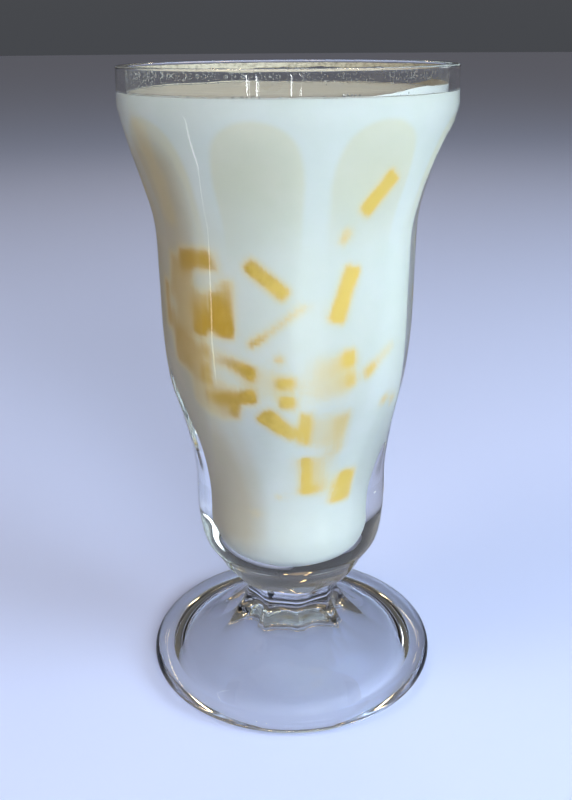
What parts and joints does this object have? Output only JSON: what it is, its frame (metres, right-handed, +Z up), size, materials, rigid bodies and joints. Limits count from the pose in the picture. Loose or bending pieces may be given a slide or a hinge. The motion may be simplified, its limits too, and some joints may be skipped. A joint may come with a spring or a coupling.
{
  "type": "glass of yogurt drink with coconut jelly",
  "caption": "Footed tulip glass with flat side panels and a fluted stem, filled nearly to the rim with a milky yogurt drink that holds yellow coconut jelly.",
  "frame": {"origin": "centre of the foot's standing face, at table level", "axes": "+Z up along the glass's axis; the side the picture shows faces -Y"},
  "size_m": [0.0946, 0.0946, 0.185],
  "materials": {
    "glass": "clear pressed glass, fire-polished",
    "drink": "opaque milky yogurt drink, wet surface",
    "jelly": "wet yellow jelly, sunk in the drink"
  },
  "bodies": {
    "root": {"glass": "glass", "drink": "drink"}
  },
  "joints": []
}
